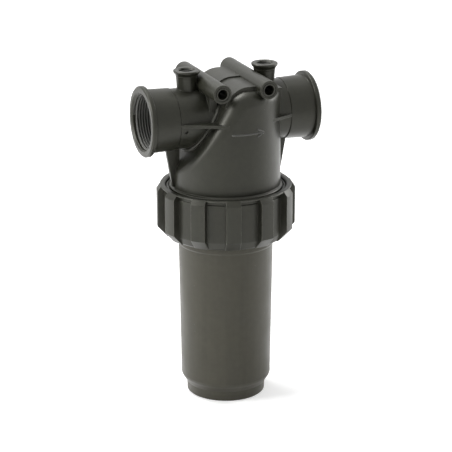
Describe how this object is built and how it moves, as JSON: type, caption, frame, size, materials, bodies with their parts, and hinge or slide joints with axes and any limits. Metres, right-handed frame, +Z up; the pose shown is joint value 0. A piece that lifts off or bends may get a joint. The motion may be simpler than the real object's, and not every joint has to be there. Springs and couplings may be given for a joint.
{
  "type": "inline filter",
  "caption": "Inline water filter for farm lines: moulded head with threaded ports, gauge ports and tube bosses, lugged ring nut, and a long bowl that holds a mesh cartridge.",
  "frame": {"origin": "middle of the foot's underside, at the base", "axes": "+Z up through the bowl, the ring nut and the head; +X from the inlet port to the outlet port; -Y is the front, along the tube bosses"},
  "size_m": [0.152, 0.1174, 0.2902],
  "materials": {
    "head_plastic": "matte moulded",
    "ring_plastic": "matte moulded",
    "bowl_plastic": "satin moulded",
    "seal_rubber": "smooth",
    "cartridge_plastic": "moulded",
    "mesh_steel": "woven",
    "gasket_rubber": "smooth"
  },
  "bodies": {
    "head": {"head": "head_plastic"},
    "bowl": {"bowl": "bowl_plastic", "bowl_seal": "seal_rubber", "cartridge_lower_collar": "cartridge_plastic", "cartridge_upper_collar": "cartridge_plastic", "cartridge_cage": "cartridge_plastic", "cartridge_mesh": "mesh_steel", "cartridge_lower_gasket": "gasket_rubber", "cartridge_upper_gasket": "gasket_rubber"},
    "ring": {"ring_nut": "ring_plastic"}
  },
  "joints": [
    {"name": "bowl_drop", "type": "slide", "parent": "head", "child": "bowl", "axis": [0, 0, -1], "range_m": [0, 0.0211]},
    {"name": "ring_turn", "type": "hinge", "parent": "bowl", "child": "ring", "pos_m": [0, 0, 0.165], "axis": [0, 0, -1], "range_deg": [0, 1260]}
  ],
  "couplings": [
    {"joint": "bowl_drop", "follows": "ring_turn", "m_per_rad": 0.00095493}
  ]
}
